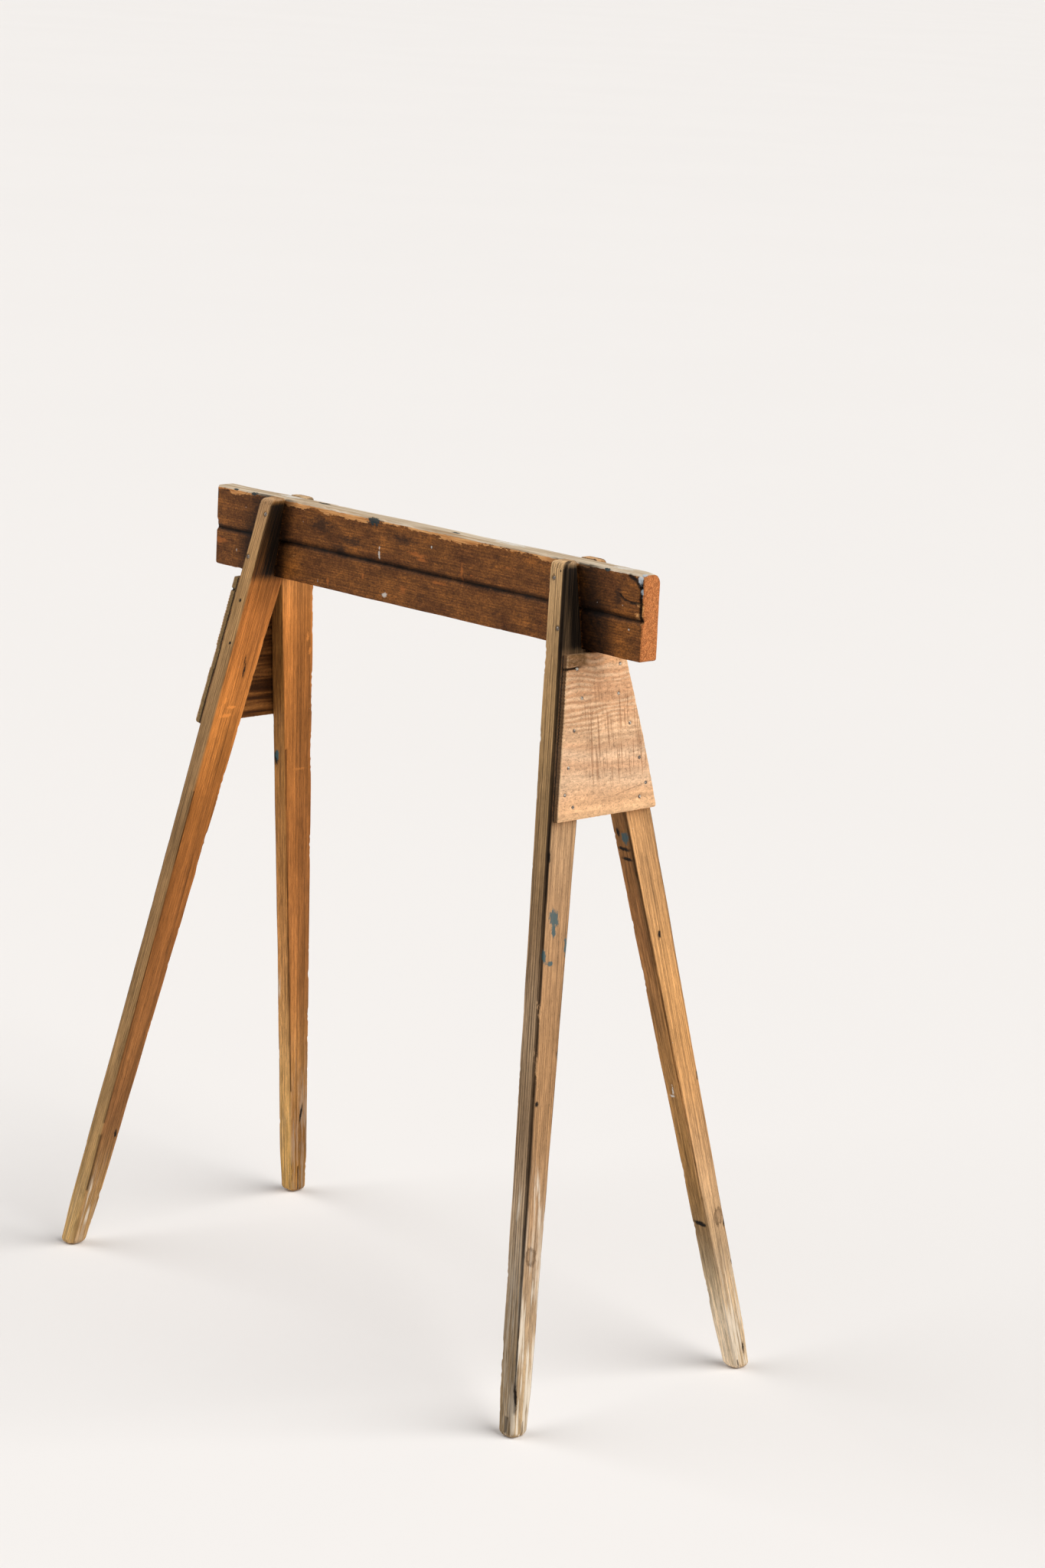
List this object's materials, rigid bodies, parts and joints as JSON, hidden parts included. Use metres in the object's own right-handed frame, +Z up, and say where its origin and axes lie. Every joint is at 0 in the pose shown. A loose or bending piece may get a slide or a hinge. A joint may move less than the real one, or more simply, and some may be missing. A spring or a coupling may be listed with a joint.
{
  "type": "fixed sawhorse",
  "caption": "Fixed wooden sawhorse: a grooved rail on edge, splayed tapered legs notched round it, and a nailed plate across each pair of legs.",
  "frame": {"origin": "on the floor, under the middle of the rail", "axes": "+X along the rail, -Y towards its grooved near side, +Z up"},
  "size_m": [0.6596, 0.31, 0.76],
  "materials": {
    "rail_wood": "old dark red-brown stain, worn grey along the top",
    "leg_wood": "weathered bare softwood with dirt and paint specks",
    "plate_wood": "rough-sawn bare softwood",
    "nail_steel": "dull, tarnished"
  },
  "bodies": {
    "root": {"beam": "rail_wood", "leg_left_near": "leg_wood", "leg_left_far": "leg_wood", "leg_right_near": "leg_wood", "leg_right_far": "leg_wood", "gusset_left": "plate_wood", "gusset_right": "plate_wood", "leg_nail_left_near_upper": "nail_steel", "leg_nail_left_near_lower": "nail_steel", "leg_nail_left_far_upper": "nail_steel", "leg_nail_left_far_lower": "nail_steel", "leg_nail_right_near_upper": "nail_steel", "leg_nail_right_near_lower": "nail_steel", "leg_nail_right_far_upper": "nail_steel", "leg_nail_right_far_lower": "nail_steel", "plate_nail_left_near_1": "nail_steel", "plate_nail_left_near_2": "nail_steel", "plate_nail_left_near_3": "nail_steel", "plate_nail_left_near_4": "nail_steel", "plate_nail_left_near_5": "nail_steel", "plate_nail_left_near_6": "nail_steel", "plate_nail_left_far_1": "nail_steel", "plate_nail_left_far_2": "nail_steel", "plate_nail_left_far_3": "nail_steel", "plate_nail_left_far_4": "nail_steel", "plate_nail_left_far_5": "nail_steel", "plate_nail_left_far_6": "nail_steel", "plate_nail_right_near_1": "nail_steel", "plate_nail_right_near_2": "nail_steel", "plate_nail_right_near_3": "nail_steel", "plate_nail_right_near_4": "nail_steel", "plate_nail_right_near_5": "nail_steel", "plate_nail_right_near_6": "nail_steel", "plate_nail_right_far_1": "nail_steel", "plate_nail_right_far_2": "nail_steel", "plate_nail_right_far_3": "nail_steel", "plate_nail_right_far_4": "nail_steel", "plate_nail_right_far_5": "nail_steel", "plate_nail_right_far_6": "nail_steel"}
  },
  "joints": []
}
